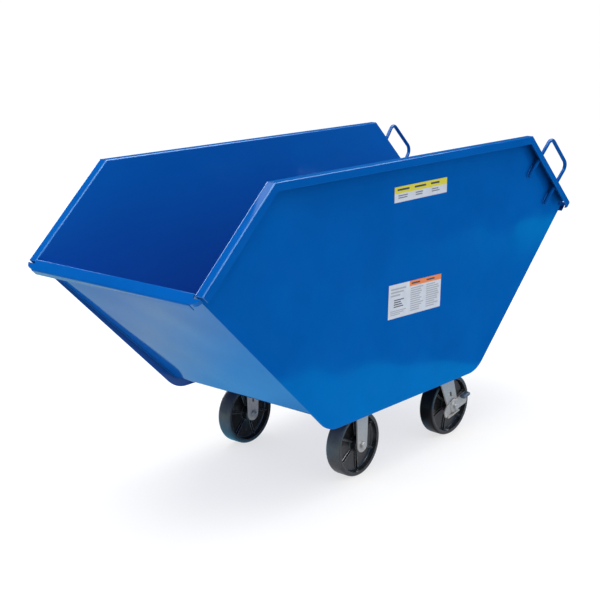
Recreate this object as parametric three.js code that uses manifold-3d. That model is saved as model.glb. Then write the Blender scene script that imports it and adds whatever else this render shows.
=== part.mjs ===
// Self-standing steel waste cart: a welded, blue-painted sheet tub on two rigid
// and two swivel casters. Millimetres, +Z up, +X toward the push handles, the
// origin on the ground under the middle of the tub.
import * as THREE from 'three';
import { mergeVertices } from 'three/addons/utils/BufferGeometryUtils.js';
import Module from 'manifold-3d';

const wasm = await Module();
wasm.setup();

// ---------------------------------------------------------------- dimensions

const SHEET = 3;          // tub sheet thickness
const GAP = 0.3;          // clearance kept between touching pieces

// Side panel outline: a long hexagon, widest at the two lips.
const TOP_HALF = 638;
const TOP_Z = 962;
const LIP_HALF = 906;
const LIP_Z = 712;
const FOOT_HALF = 385;
const FOOT_Z = 216;
const FOOT_RADIUS = 112;
const PANEL_OUT = 308;    // outer face, measured from the centre plane
const PANEL_IN = PANEL_OUT - SHEET;

// Folded rim around every open edge.
const RIM_WEB = 28;
const RIM_RETURN = 24;
const FOLD_RADIUS = 2;    // inside radius of a rim fold
const RIM_OVERLAP = 40;   // how far the rim piece reaches down the panel

// Rounded ears that carry each end lip round the corner of the tub.
const EAR_RADIUS = 24;
const EAR_RELIEF = 7;     // slit left between an ear and the rim's end
const EAR_DEPTH = 13;     // height of an ear's turned-down edge
const EAR_ROOT = 6;       // overlap of an ear with the lip it grows from

// Bent sheet that makes the two slopes and the floor.
const SLOPE_MARGIN_TOP = 5;
const SLOPE_MARGIN_FOOT = 26;
const FLOOR_UNDER_Z = 249.6;
const FLOOR_BEND_RADIUS = 45;

// Round-bar handles on the rear rim.
const BAR_RADIUS = 6.35;
const BAR_BEND = 24;
const HANDLE_LEGS = [106, 258.4];   // distances along the rear rim
const HANDLE_REACH = 77;            // past the rim
const HANDLE_ROOT = -88;            // behind the rim, on the panel
const HANDLE_SPLAY = 14;            // how much farther out the grip stands

// Casters.
const WHEEL_RADIUS = 101.6;
const WHEEL_HALF_WIDTH = 25.4;
const HUB_HALF = 30;
const RIB_TOP = 15;        // top of a wheel rib, from the wheel's middle
const RIB_HALF = 1.5;
const HUB_BORE = 14;
const BUSHING_RADIUS = 13.7;
const AXLE_RADIUS = 6.35;
const LEG_IN = 32;
const LEG_OUT = 37;
const PLATE_TOP_Z = 241.3;
const PLATE_THICK = 6;
const PLATE_X = 114.3;
const PLATE_Y = 101.6;
const BOLT_X = 46;
const BOLT_Y = 36.5;
const BOLT_RADIUS = 4.76;
const CASTER_Y = 222;
const FRONT_X = -161;
const SWIVEL_X = 267;
const TRAIL = 57.15;
const CROWN_TOP_Z = 222.8;
const CROWN_THICK = 6;
const CROWN_RADIUS = 41;
const KINGPIN_RADIUS = 8;
const PAD_X = 130;
const PAD_HALF_Y = 290;

// Brake lever on the outer leg of each swivel caster.
const LEVER_THICK = 4;
const LEVER_TILT = THREE.MathUtils.degToRad(13.6);
const LEVER_BOSS = 5;
const HEEL_FLANGE = 9;      // how far the lever's lower edge is turned outward
const PEDAL_REACH = 16.5;
const LEVER_IN = LEG_OUT + GAP;
const LEVER_OUT = LEVER_IN + LEVER_THICK;

// ----------------------------------------------------------------- materials

function paint(hex, roughness, metalness) {
  return new THREE.MeshStandardMaterial({ color: hex, roughness, metalness });
}

const MATERIALS = {
  blue: () => paint(0x0560b0, 0.35, 0.1),
  zinc: () => paint(0xb9bfc1, 0.4, 0.9),
  bolt: () => paint(0x9aa0a3, 0.35, 0.9),
  nylon: () => paint(0x18191b, 0.35, 0.0),
  rubber: () => paint(0x46586b, 0.7, 0.0),
  yellowLabel: () => paint(0xe8e4d8, 0.6, 0.0),
  whiteLabel: () => paint(0xdfe2e6, 0.6, 0.0),
};

// ------------------------------------------------------------ solid handling

// Welds a geometry into one closed, outward-facing indexed mesh.
function weld(geometry) {
  const bare = new THREE.BufferGeometry();
  bare.setAttribute('position', geometry.getAttribute('position').clone());
  if (geometry.index) {
    bare.setIndex(geometry.index.clone());
  }
  const merged = mergeVertices(bare, 1e-4);
  const index = [];
  const source = merged.index.array;
  for (let i = 0; i < source.length; i += 3) {
    const [a, b, c] = [source[i], source[i + 1], source[i + 2]];
    if (a !== b && b !== c && c !== a) {
      index.push(a, b, c);
    }
  }
  merged.setIndex(index);
  if (signedVolume(merged) < 0) {
    for (let i = 0; i < index.length; i += 3) {
      [index[i + 1], index[i + 2]] = [index[i + 2], index[i + 1]];
    }
    merged.setIndex(index);
  }
  return merged;
}

function signedVolume(geometry) {
  const position = geometry.getAttribute('position');
  const index = geometry.index.array;
  const corner = [new THREE.Vector3(), new THREE.Vector3(), new THREE.Vector3()];
  let total = 0;
  for (let i = 0; i < index.length; i += 3) {
    corner.forEach((point, k) => point.fromBufferAttribute(position, index[i + k]));
    total += corner[0].dot(corner[1].cross(corner[2])) / 6;
  }
  return total;
}

function solid(geometry) {
  const clean = weld(geometry);
  return new wasm.Manifold(new wasm.Mesh({
    numProp: 3,
    vertProperties: new Float32Array(clean.getAttribute('position').array),
    triVerts: new Uint32Array(clean.index.array),
  }));
}

function geometryOf(manifold) {
  const mesh = manifold.getMesh();
  const geometry = new THREE.BufferGeometry();
  const points = new Float32Array(mesh.vertProperties);
  geometry.setAttribute('position', new THREE.BufferAttribute(points, 3));
  geometry.setIndex(Array.from(mesh.triVerts));
  return geometry;
}

function join(first, ...others) {
  const total = others.reduce((sum, next) => sum.add(solid(next)), solid(first));
  return geometryOf(total);
}

function cut(body, ...tools) {
  const rest = tools.reduce((left, next) => left.subtract(solid(next)), solid(body));
  return geometryOf(rest);
}

// ---------------------------------------------------------------- primitives

function box(x0, x1, y0, y1, z0, z1) {
  const geometry = new THREE.BoxGeometry(x1 - x0, y1 - y0, z1 - z0);
  return geometry.translate((x0 + x1) / 2, (y0 + y1) / 2, (z0 + z1) / 2);
}

// Prism of an outline drawn in the XZ plane, from y0 to y1.
function prismY(points, y0, y1) {
  const shape = new THREE.Shape(points);
  const geometry = new THREE.ExtrudeGeometry(shape, { depth: y1 - y0, bevelEnabled: false });
  return geometry.rotateX(Math.PI / 2).translate(0, y1, 0);
}

// Turned ring or disc about the Y axis from a closed list of [radius, y].
function turnedY(profile, segments) {
  const points = profile.map(([radius, y]) => new THREE.Vector2(radius, y));
  if (profile[0][0] > 0) {
    points.push(points[0].clone());
  }
  return new THREE.LatheGeometry(points, segments);
}

function turnedZ(profile, segments) {
  return turnedY(profile, segments).rotateX(Math.PI / 2);
}

function cylinderY(radius, y0, y1, segments) {
  return new THREE.CylinderGeometry(radius, radius, y1 - y0, segments)
    .translate(0, (y0 + y1) / 2, 0);
}

function cylinderZ(radius, z0, z1, segments) {
  return new THREE.CylinderGeometry(radius, radius, z1 - z0, segments)
    .rotateX(Math.PI / 2)
    .translate(0, 0, (z0 + z1) / 2);
}

function leftOf(direction) {
  return new THREE.Vector2(-direction.y, direction.x);
}

// Points along a path with rounded corners, each with its left-hand normal.
// A corner is [x, y, radius]; radius 0 or none keeps it sharp.
function roundedPath(corners, closed, stepDegrees = 22.5) {
  const points = corners.map(([x, y]) => new THREE.Vector2(x, y));
  const count = points.length;
  const samples = [];
  points.forEach((here, i) => {
    const before = closed || i > 0 ? points[(i + count - 1) % count] : null;
    const after = closed || i < count - 1 ? points[(i + 1) % count] : null;
    if (!before || !after) {
      const along = before ? here.clone().sub(before) : after.clone().sub(here);
      samples.push({ point: here, normal: leftOf(along.normalize()) });
      return;
    }
    const arrive = here.clone().sub(before).normalize();
    const leave = after.clone().sub(here).normalize();
    const turn = Math.atan2(arrive.cross(leave), arrive.dot(leave));
    const radius = corners[i][2] || 0;
    if (radius === 0) {
      const normal = leftOf(arrive).add(leftOf(leave));
      normal.multiplyScalar(1 / (1 + arrive.dot(leave)));
      samples.push({ point: here, normal });
      return;
    }
    const side = Math.sign(turn);
    const start = here.clone().addScaledVector(arrive, -radius * Math.tan(Math.abs(turn) / 2));
    const centre = start.clone().addScaledVector(leftOf(arrive), side * radius);
    const steps = Math.max(2, Math.ceil(Math.abs(turn) / THREE.MathUtils.degToRad(stepDegrees)));
    for (let k = 0; k <= steps; k += 1) {
      const normal = leftOf(arrive).rotateAround(new THREE.Vector2(), (turn * k) / steps);
      const point = centre.clone().addScaledVector(normal, -side * radius);
      samples.push({ point, normal });
    }
  });
  return samples;
}

function roundedOutline(corners, stepDegrees) {
  return roundedPath(corners, true, stepDegrees).map((sample) => sample.point);
}

// Outline of a bent sheet: the path is one face, the other lies to its left.
function bentSheet(corners, thickness) {
  const samples = roundedPath(corners, false);
  const near = samples.map((sample) => sample.point);
  const far = samples.map((sample) => sample.point.clone().addScaledVector(sample.normal, thickness));
  return near.concat(far.reverse());
}

// Closed solid through a row of equal rings of THREE.Vector3.
function loft(rings, capTriangles) {
  const size = rings[0].length;
  const position = rings.flat().flatMap((point) => point.toArray());
  const index = [];
  for (let k = 0; k + 1 < rings.length; k += 1) {
    for (let i = 0; i < size; i += 1) {
      const a = k * size + i;
      const b = k * size + ((i + 1) % size);
      index.push(a, b, b + size, a, b + size, a + size);
    }
  }
  const last = (rings.length - 1) * size;
  capTriangles.forEach(([a, b, c]) => {
    index.push(c, b, a);
    index.push(last + a, last + b, last + c);
  });
  const geometry = new THREE.BufferGeometry();
  geometry.setAttribute('position', new THREE.Float32BufferAttribute(position, 3));
  geometry.setIndex(index);
  return geometry;
}

// Round bar along samples of { point, side, up }: two directions across it.
function roundBar(stations, radius, segments) {
  const rings = stations.map(({ point, side, up }) => {
    const ring = [];
    for (let i = 0; i < segments; i += 1) {
      const angle = (2 * Math.PI * i) / segments;
      ring.push(point.clone()
        .addScaledVector(side, radius * Math.cos(angle))
        .addScaledVector(up, radius * Math.sin(angle)));
    }
    return ring;
  });
  const caps = [];
  for (let i = 1; i + 1 < segments; i += 1) {
    caps.push([0, i, i + 1]);
  }
  return loft(rings, caps);
}

// Strap outline: a straight top edge that narrows onto a round end.
function strapOutline(topLeft, topRight, centre, radius) {
  const touch = (top, side) => {
    const line = centre.clone().sub(top);
    const spread = Math.asin(radius / line.length());
    return line.angle() + side * (Math.PI / 2 - spread) + Math.PI;
  };
  const from = touch(topRight, -1);
  let to = touch(topLeft, 1);
  while (to > from) {
    to -= 2 * Math.PI;
  }
  const points = [topLeft, topRight];
  const steps = 10;
  for (let k = 0; k <= steps; k += 1) {
    const angle = from + ((to - from) * k) / steps;
    points.push(new THREE.Vector2(
      centre.x + radius * Math.cos(angle),
      centre.y + radius * Math.sin(angle),
    ));
  }
  return points;
}

// ------------------------------------------------------------ tub sheet work

const LIP = new THREE.Vector2(-LIP_HALF, LIP_Z);
const SHOULDER = new THREE.Vector2(-TOP_HALF, TOP_Z);
const FOOT = new THREE.Vector2(-FOOT_HALF, FOOT_Z);
const DOWN_SLOPE = FOOT.clone().sub(LIP).normalize();
const OUT_OF_SLOPE = leftOf(DOWN_SLOPE).negate();

function mirrored(point) {
  return new THREE.Vector2(-point.x, point.y);
}

// The four rim corners, each with the inward step for one millimetre of width.
function rimCorners() {
  const rise = SHOULDER.clone().sub(LIP).normalize();
  const intoRise = leftOf(rise).negate();
  const endStep = DOWN_SLOPE.clone().multiplyScalar(1 / DOWN_SLOPE.dot(intoRise));
  const bend = intoRise.clone().add(new THREE.Vector2(0, -1));
  const bendStep = bend.multiplyScalar(1 / (1 - intoRise.y));
  return [
    { corner: LIP, step: endStep },
    { corner: SHOULDER, step: bendStep },
    { corner: mirrored(SHOULDER), step: mirrored(bendStep) },
    { corner: mirrored(LIP), step: mirrored(endStep) },
  ];
}

// Channel-shaped rim, folded out of the panel along its open edges.
function panelRim() {
  const returnIn = PANEL_OUT + RIM_WEB - SHEET;
  const section = bentSheet([
    [RIM_OVERLAP, PANEL_OUT],
    [SHEET, PANEL_OUT, FOLD_RADIUS],
    [SHEET, returnIn, FOLD_RADIUS],
    [RIM_RETURN, returnIn],
  ], SHEET);
  const rings = rimCorners().map(({ corner, step }) => section.map(({ x: inward, y }) => {
    const at = corner.clone().addScaledVector(step, inward);
    return new THREE.Vector3(at.x, y, at.y);
  }));
  return loft(rings, THREE.ShapeUtils.triangulateShape(section, []));
}

function panelPlate() {
  const inset = RIM_OVERLAP / 2;
  const upper = rimCorners().map(({ corner, step }) => corner.clone().addScaledVector(step, inset));
  const corners = upper.map((point) => [point.x, point.y]);
  corners.push([FOOT_HALF, FOOT_Z, FOOT_RADIUS], [-FOOT_HALF, FOOT_Z, FOOT_RADIUS]);
  return prismY(roundedOutline(corners, 6), PANEL_IN, PANEL_OUT);
}

// A panel is drawn on the +Y side; side -1 mirrors it.
function sidePanel(side) {
  const holes = HANDLE_LEGS.map((along) => {
    const from = handlePoint(along, -14);
    const to = handlePoint(along, 8);
    return roundBar(straightStations(from, to), BAR_RADIUS + 1, 16);
  });
  return cut(join(panelPlate(), panelRim()), ...holes).scale(1, side, 1);
}

// Front half of the bent sheet's outer face, from the lip's edge to the floor.
function wrapCorners() {
  const web = LIP.clone().addScaledVector(DOWN_SLOPE, SHEET);
  const tip = web.clone().addScaledVector(OUT_OF_SLOPE, RIM_WEB - SHEET);
  const edge = tip.clone().addScaledVector(DOWN_SLOPE, RIM_RETURN - SHEET);
  const fold = web.clone().addScaledVector(OUT_OF_SLOPE, -SLOPE_MARGIN_TOP);
  const low = FOOT.clone().addScaledVector(OUT_OF_SLOPE, -SLOPE_MARGIN_FOOT);
  const run = low.clone().sub(fold);
  const floor = fold.clone().addScaledVector(run, (FLOOR_UNDER_Z - fold.y) / run.y);
  return [
    [edge.x, edge.y],
    [tip.x, tip.y, FOLD_RADIUS],
    [fold.x, fold.y, FOLD_RADIUS],
    [floor.x, floor.y, FLOOR_BEND_RADIUS],
  ];
}

function mirrorCorners(corners) {
  return corners.map(([x, z, radius]) => [-x, z, radius]).reverse();
}

// Ear at one end of a lip, drawn flat as [distance from the centre plane, distance out].
function lipEar(sideY, endX) {
  const root = PANEL_IN - GAP - EAR_ROOT;
  const start = Math.asin(EAR_RELIEF / EAR_RADIUS);
  const steps = 7;
  const arc = (radius) => Array.from({ length: steps + 1 }, (_, k) => {
    const angle = start + ((Math.PI / 2 - start) * k) / steps;
    return new THREE.Vector2(
      PANEL_OUT + radius * Math.cos(angle),
      radius * Math.sin(angle),
    );
  });
  const rim = arc(EAR_RADIUS);
  const web = [new THREE.Vector2(root, EAR_RELIEF), ...rim, new THREE.Vector2(root, EAR_RADIUS)];
  const edge = [...rim.slice(0, steps), ...arc(EAR_RADIUS - SHEET).slice(0, steps).reverse()];
  const flat = (outline, depth) => (
    new THREE.ExtrudeGeometry(new THREE.Shape(outline), { depth, bevelEnabled: false })
  );
  const ear = join(flat(web, SHEET), flat(edge, EAR_DEPTH));
  const across = new THREE.Vector3(0, 1, 0);
  const outward = new THREE.Vector3(OUT_OF_SLOPE.x, 0, OUT_OF_SLOPE.y);
  const down = new THREE.Vector3(DOWN_SLOPE.x, 0, DOWN_SLOPE.y);
  ear.applyMatrix4(new THREE.Matrix4().makeBasis(across, outward, down));
  return ear.translate(LIP.x, 0, LIP.y).scale(-endX, sideY, 1);
}

function tubWrap() {
  const front = wrapCorners();
  const whole = bentSheet(front.concat(mirrorCorners(front)), SHEET);
  const body = prismY(whole, GAP - PANEL_IN, PANEL_IN - GAP);
  const ears = [[-1, -1], [-1, 1], [1, -1], [1, 1]].map(([sideY, endX]) => lipEar(sideY, endX));
  return join(body, ...ears);
}

// ------------------------------------------------------------------- handles

// Point of the rear handle plane: along the rear rim, then out past it.
function handlePoint(along, out) {
  const down = mirrored(LIP).sub(mirrored(SHOULDER)).normalize();
  const at = mirrored(SHOULDER).addScaledVector(down, along).addScaledVector(leftOf(down), out);
  const share = (out - HANDLE_ROOT) / (HANDLE_REACH - HANDLE_ROOT);
  const y = PANEL_OUT + GAP + BAR_RADIUS + share * HANDLE_SPLAY;
  return new THREE.Vector3(at.x, y, at.y);
}

function handlePlaneNormal() {
  const origin = handlePoint(0, 0);
  const along = handlePoint(1, 0).sub(origin);
  const out = handlePoint(0, 1).sub(origin);
  return along.cross(out).normalize();
}

function straightStations(from, to) {
  const side = handlePlaneNormal();
  const up = to.clone().sub(from).cross(side).normalize();
  return [{ point: from, side, up }, { point: to, side, up }];
}

function handle(side) {
  const [upper, lower] = HANDLE_LEGS;
  const path = roundedPath([
    [upper, HANDLE_ROOT],
    [upper, HANDLE_REACH, BAR_BEND],
    [lower, HANDLE_REACH, BAR_BEND],
    [lower, HANDLE_ROOT],
  ], false, 18);
  const across = handlePlaneNormal();
  const stations = path.map(({ point, normal }) => {
    const here = handlePoint(point.x, point.y);
    const up = handlePoint(point.x + normal.x, point.y + normal.y).sub(here).normalize();
    return { point: here, side: across, up };
  });
  return roundBar(stations, BAR_RADIUS, 12).scale(1, side, 1);
}

// -------------------------------------------------------------------- decals

function decal(x, z, length, height, tiltDegrees) {
  const thick = 0.4;
  const geometry = new THREE.BoxGeometry(length, thick, height);
  geometry.rotateY(THREE.MathUtils.degToRad(tiltDegrees));
  return geometry.translate(x, -PANEL_OUT - GAP - thick / 2, z);
}

// ------------------------------------------------------------- caster pieces

function casterPad(x) {
  const low = PLATE_TOP_Z + GAP;
  const high = FLOOR_UNDER_Z - GAP;
  const plate = box(x - PAD_X / 2, x + PAD_X / 2, -PAD_HALF_Y, PAD_HALF_Y, low, high);
  const holes = [];
  [-CASTER_Y, CASTER_Y].forEach((y) => {
    boltSpots().forEach(([dx, dy]) => {
      const hole = cylinderZ(BOLT_RADIUS + GAP, low - 1, high + 1, 12);
      holes.push(hole.translate(x + dx, y + dy, 0));
    });
  });
  return cut(plate, ...holes);
}

function boltSpots() {
  return [[-BOLT_X, -BOLT_Y], [BOLT_X, -BOLT_Y], [BOLT_X, BOLT_Y], [-BOLT_X, BOLT_Y]];
}

// Mounting plate with four bolt holes, its top face at PLATE_TOP_Z.
function mountingPlate() {
  const [x, y, radius] = [PLATE_X / 2, PLATE_Y / 2, 12];
  const outline = roundedOutline([[-x, -y, radius], [x, -y, radius], [x, y, radius], [-x, y, radius]]);
  const shape = new THREE.Shape(outline);
  const plate = new THREE.ExtrudeGeometry(shape, { depth: PLATE_THICK, bevelEnabled: false })
    .translate(0, 0, PLATE_TOP_Z - PLATE_THICK);
  const holes = boltSpots().map(([dx, dy]) => (
    cylinderZ(BOLT_RADIUS + GAP, PLATE_TOP_Z - 20, PLATE_TOP_Z + 1, 12).translate(dx, dy, 0)
  ));
  return cut(plate, ...holes);
}

function mountingBolt() {
  const headTop = PLATE_TOP_Z - PLATE_THICK - GAP;
  const head = cylinderZ(8.2, headTop - 6.5, headTop, 6);
  return join(head, cylinderZ(BOLT_RADIUS, headTop - 1, FLOOR_UNDER_Z - 2 * GAP, 12));
}

function axleHole() {
  return cylinderY(AXLE_RADIUS + GAP, -LEG_OUT - 1, LEG_OUT + 1, 20);
}

function straightLeg(side, windowed) {
  const top = PLATE_TOP_Z - PLATE_THICK + 1 - WHEEL_RADIUS;
  const outline = strapOutline(
    new THREE.Vector2(-28, top),
    new THREE.Vector2(28, top),
    new THREE.Vector2(0, 0),
    23,
  );
  const leg = prismY(outline, LEG_IN, LEG_OUT);
  const shaped = windowed ? cut(leg, box(-4, 4, LEG_IN - 1, LEG_OUT + 1, 40, 54)) : leg;
  return shaped.scale(1, side, 1);
}

// Rigid caster frame; inner is the side that faces the cart's middle.
function rigidFork(inner) {
  const plate = mountingPlate().translate(0, 0, -WHEEL_RADIUS);
  const body = join(plate, straightLeg(inner, true), straightLeg(-inner, false));
  return cut(body, axleHole()).translate(0, 0, WHEEL_RADIUS);
}

function wheelProfile() {
  const half = [
    [HUB_BORE, HUB_HALF],
    [25, HUB_HALF],
    [29, 9],
    [82, 8],
    [86, 11],
    [89, WHEEL_HALF_WIDTH],
    [97, WHEEL_HALF_WIDTH],
    [WHEEL_RADIUS, 20],
  ];
  const low = half.map(([radius, y]) => [radius, -y]);
  return low.concat(half.reverse());
}

// Six low ribs on each face of the web join the hub to the rim.
function wheel(phaseDegrees) {
  const ribs = [];
  for (let k = 0; k < 6; k += 1) {
    const turn = THREE.MathUtils.degToRad(phaseDegrees + 60 * k);
    ribs.push(box(26, 84, 7, RIB_TOP, -RIB_HALF, RIB_HALF).rotateY(turn));
    ribs.push(box(26, 84, -RIB_TOP, -7, -RIB_HALF, RIB_HALF).rotateY(turn));
  }
  const body = turnedY(wheelProfile(), 32);
  return join(body, ...ribs);
}

function bushing() {
  const half = LEG_IN - 2 * GAP;
  const bore = AXLE_RADIUS + GAP;
  return turnedY([[bore, -half], [BUSHING_RADIUS, -half], [BUSHING_RADIUS, half], [bore, half]], 20);
}

// Hexagon-headed axle; the head's inner face lies at y = seat, toward -Y.
function axleBolt(seat) {
  const head = cylinderY(11, seat - 8, seat, 6);
  return join(head, cylinderY(AXLE_RADIUS, seat - 1, LEG_OUT + GAP + 13, 20));
}

function axleNut() {
  const seat = LEG_OUT + GAP;
  return cut(cylinderY(11, seat, seat + 10, 6), cylinderY(AXLE_RADIUS + GAP, seat - 1, seat + 11, 20));
}

function swivelTopPlate() {
  return cut(mountingPlate(), cylinderZ(KINGPIN_RADIUS + GAP, PLATE_TOP_Z - 20, PLATE_TOP_Z + 1, 16));
}

function raceway() {
  const top = PLATE_TOP_Z - PLATE_THICK - GAP;
  const low = CROWN_TOP_Z + GAP;
  const bore = KINGPIN_RADIUS + GAP;
  return turnedZ([[bore, low], [40, low], [43, top - 2], [40, top], [bore, top]], 24);
}

function kingpin() {
  const seat = CROWN_TOP_Z - CROWN_THICK - GAP;
  const head = cylinderZ(13, seat - 7, seat, 6);
  return join(head, cylinderZ(KINGPIN_RADIUS, seat - 1, PLATE_TOP_Z - 2 * GAP, 20));
}

// Swivel fork: a round crown with square shoulders, and two swept-back legs.
function swivelFork() {
  const top = CROWN_TOP_Z;
  const [shoulderFront, shoulderBack] = [-25, 47];
  const disc = cylinderZ(CROWN_RADIUS, top - CROWN_THICK, top, 32);
  const shoulders = box(shoulderFront, shoulderBack, -LEG_OUT, LEG_OUT, top - CROWN_THICK, top);
  const outline = strapOutline(
    new THREE.Vector2(shoulderFront, top),
    new THREE.Vector2(shoulderBack, top),
    new THREE.Vector2(TRAIL, WHEEL_RADIUS),
    25,
  );
  const [windowX, windowZ] = [43, 145];
  const legs = [-1, 1].map((side) => {
    const leg = prismY(outline, LEG_IN, LEG_OUT);
    const slot = box(-4.5, 4.5, LEG_IN - 1, LEG_OUT + 1, -9, 9);
    slot.rotateY(-0.3).translate(windowX, 0, windowZ);
    return cut(leg, slot).scale(1, side, 1);
  });
  const kingpinHole = cylinderZ(KINGPIN_RADIUS + GAP, top - 20, top + 1, 16);
  return cut(join(disc, shoulders, ...legs), kingpinHole, axleHole().translate(TRAIL, 0, WHEEL_RADIUS));
}

// Foot lever for the brake, drawn level about the axle and then tilted.
function brakeLever() {
  const plate = prismY(
    roundedOutline([
      [-50, -22, 5],
      [-30, -19, 8],
      [68, -19, 10],
      [68, 19, 4],
      [-34, 18, 14],
      [-52, 1, 6],
    ]),
    -LEVER_OUT,
    -LEVER_IN,
  );
  const boss = turnedY([[0, -LEVER_OUT + 1], [24, -LEVER_OUT + 1], [21, -LEVER_OUT - LEVER_BOSS],
    [0, -LEVER_OUT - LEVER_BOSS]], 28);
  const pedal = box(38, 64, -LEVER_OUT - PEDAL_REACH, -LEVER_IN, 15, 19);
  const heel = box(-46, 14, -LEVER_OUT - HEEL_FLANGE, -LEVER_IN, -22, -18.5);
  const bore = cylinderY(AXLE_RADIUS + GAP, -LEVER_OUT - 20, LEVER_OUT, 20);
  return tilted(cut(join(plate, boss, pedal, heel), bore));
}

function tilted(geometry) {
  return geometry.rotateY(-LEVER_TILT).translate(TRAIL, 0, WHEEL_RADIUS);
}

// Rubber sleeve that slides over the pedal tab.
function brakePad() {
  const inner = -LEVER_OUT - GAP;
  const outer = -LEVER_OUT - PEDAL_REACH - 4;
  const outline = roundedOutline([[33, 11, 4], [69, 11, 4], [67, 24, 6], [35, 24, 6]]);
  const sleeve = prismY(outline, outer, inner);
  const deep = -LEVER_OUT - PEDAL_REACH - GAP;
  const pocket = box(38 - GAP, 64 + GAP, deep, inner + 1, 15 - GAP, 19 + GAP);
  return tilted(cut(sleeve, pocket));
}

// ------------------------------------------------------------------ assembly

const cart = new THREE.Group();
cart.name = 'waste_cart';

function add(parent, name, geometry, material) {
  const mesh = new THREE.Mesh(weld(geometry), MATERIALS[material]());
  mesh.geometry.computeVertexNormals();
  mesh.name = name;
  parent.add(mesh);
}

function addTub() {
  add(cart, 'tub_wrap', tubWrap(), 'blue');
  add(cart, 'side_panel_left', sidePanel(-1), 'blue');
  add(cart, 'side_panel_right', sidePanel(1), 'blue');
  add(cart, 'handle_left', handle(-1), 'blue');
  add(cart, 'handle_right', handle(1), 'blue');
  add(cart, 'decal_upper', decal(45, 856, 268, 46, 0), 'yellowLabel');
  add(cart, 'decal_lower', decal(25, 535, 270, 103, 1.9), 'whiteLabel');
  add(cart, 'caster_pad_front', casterPad(FRONT_X), 'blue');
  add(cart, 'caster_pad_rear', casterPad(SWIVEL_X), 'blue');
}

function casterStation(x, y, turnDegrees) {
  const station = new THREE.Group();
  station.position.set(x, y, 0);
  station.rotation.z = THREE.MathUtils.degToRad(turnDegrees);
  cart.add(station);
  return station;
}

function addMountingBolts(tag, x, y) {
  const station = casterStation(x, y, 0);
  boltSpots().forEach(([dx, dy], k) => {
    add(station, `mount_bolt_${tag}_${k + 1}`, mountingBolt().translate(dx, dy, 0), 'bolt');
  });
}

// Wheel, bushing, axle and nut; outward is the side that the bolt head faces.
function addWheelSet(station, tag, x, outward, headSeat, phase) {
  const place = (geometry) => geometry.scale(1, -outward, 1).translate(x, 0, WHEEL_RADIUS);
  add(station, `wheel_${tag}`, place(wheel(phase)), 'nylon');
  add(station, `axle_bushing_${tag}`, place(bushing()), 'zinc');
  add(station, `axle_bolt_${tag}`, place(axleBolt(headSeat)), 'bolt');
  add(station, `axle_nut_${tag}`, place(axleNut()), 'bolt');
}

function addRigidCaster(tag, outward, phase) {
  const y = outward * CASTER_Y;
  const station = casterStation(FRONT_X, y, 0);
  add(station, `rigid_fork_${tag}`, rigidFork(-outward), 'zinc');
  addWheelSet(station, tag, 0, outward, -LEG_OUT - GAP, phase);
  addMountingBolts(tag, FRONT_X, y);
}

function addSwivelCaster(tag, outward, turnDegrees, phase) {
  const y = outward * CASTER_Y;
  const fixed = casterStation(SWIVEL_X, y, 0);
  add(fixed, `swivel_plate_${tag}`, swivelTopPlate(), 'zinc');
  add(fixed, `swivel_raceway_${tag}`, raceway(), 'zinc');
  add(fixed, `kingpin_${tag}`, kingpin(), 'bolt');
  const turning = casterStation(SWIVEL_X, y, turnDegrees);
  add(turning, `swivel_fork_${tag}`, swivelFork(), 'zinc');
  addWheelSet(turning, tag, TRAIL, outward, -LEVER_OUT - LEVER_BOSS - GAP, phase);
  add(turning, `brake_lever_${tag}`, brakeLever().scale(1, -outward, 1), 'zinc');
  add(turning, `brake_pad_${tag}`, brakePad().scale(1, -outward, 1), 'rubber');
  addMountingBolts(tag, SWIVEL_X, y);
}

addTub();
addRigidCaster('front_left', -1, 85);
addRigidCaster('front_right', 1, 70);
addSwivelCaster('rear_left', -1, -3, 100);
addSwivelCaster('rear_right', 1, 0, 85);

export default cart;
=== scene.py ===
"""Looks of the self-standing waste cart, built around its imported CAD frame.

Metres, in the CAD frame: +X toward the push handles, +Z up, origin on the ground
under the middle of the tub. The left side of the cart is the -Y side.
"""

import math

import bmesh
import bpy
from mathutils import Matrix, Vector, noise


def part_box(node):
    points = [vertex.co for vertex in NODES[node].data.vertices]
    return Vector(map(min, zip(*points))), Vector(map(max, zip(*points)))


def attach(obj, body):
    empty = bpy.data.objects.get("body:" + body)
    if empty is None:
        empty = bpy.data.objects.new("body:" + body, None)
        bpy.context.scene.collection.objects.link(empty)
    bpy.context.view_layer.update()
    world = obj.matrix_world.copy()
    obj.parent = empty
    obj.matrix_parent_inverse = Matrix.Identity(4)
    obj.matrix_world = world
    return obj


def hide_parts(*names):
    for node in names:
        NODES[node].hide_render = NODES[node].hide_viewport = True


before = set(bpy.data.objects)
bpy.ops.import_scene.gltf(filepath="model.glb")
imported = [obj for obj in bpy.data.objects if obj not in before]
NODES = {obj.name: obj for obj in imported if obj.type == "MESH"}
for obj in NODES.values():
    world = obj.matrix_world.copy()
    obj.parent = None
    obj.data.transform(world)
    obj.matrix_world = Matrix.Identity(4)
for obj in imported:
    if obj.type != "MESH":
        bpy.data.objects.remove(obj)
for stock in ("Cube", "Light", "Camera"):
    if stock in bpy.data.objects and stock not in NODES:
        bpy.data.objects.remove(bpy.data.objects[stock])
bpy.context.view_layer.update()

# ------------------------------------------------------------------ dimensions

# Tub, as in the CAD source.
SHEET = 0.003
GAP = 0.0003
TOP_HALF, TOP_Z = 0.638, 0.962
LIP_HALF, LIP_Z = 0.906, 0.712
FOOT_HALF, FOOT_Z = 0.385, 0.216
PANEL_OUT = 0.308
PANEL_IN = PANEL_OUT - SHEET
RIM_WEB = 0.028
MARGIN_TOP, MARGIN_FOOT = 0.005, 0.026
FLOOR_UNDER_Z = 0.2496
FLOOR_BEND = 0.045

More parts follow.
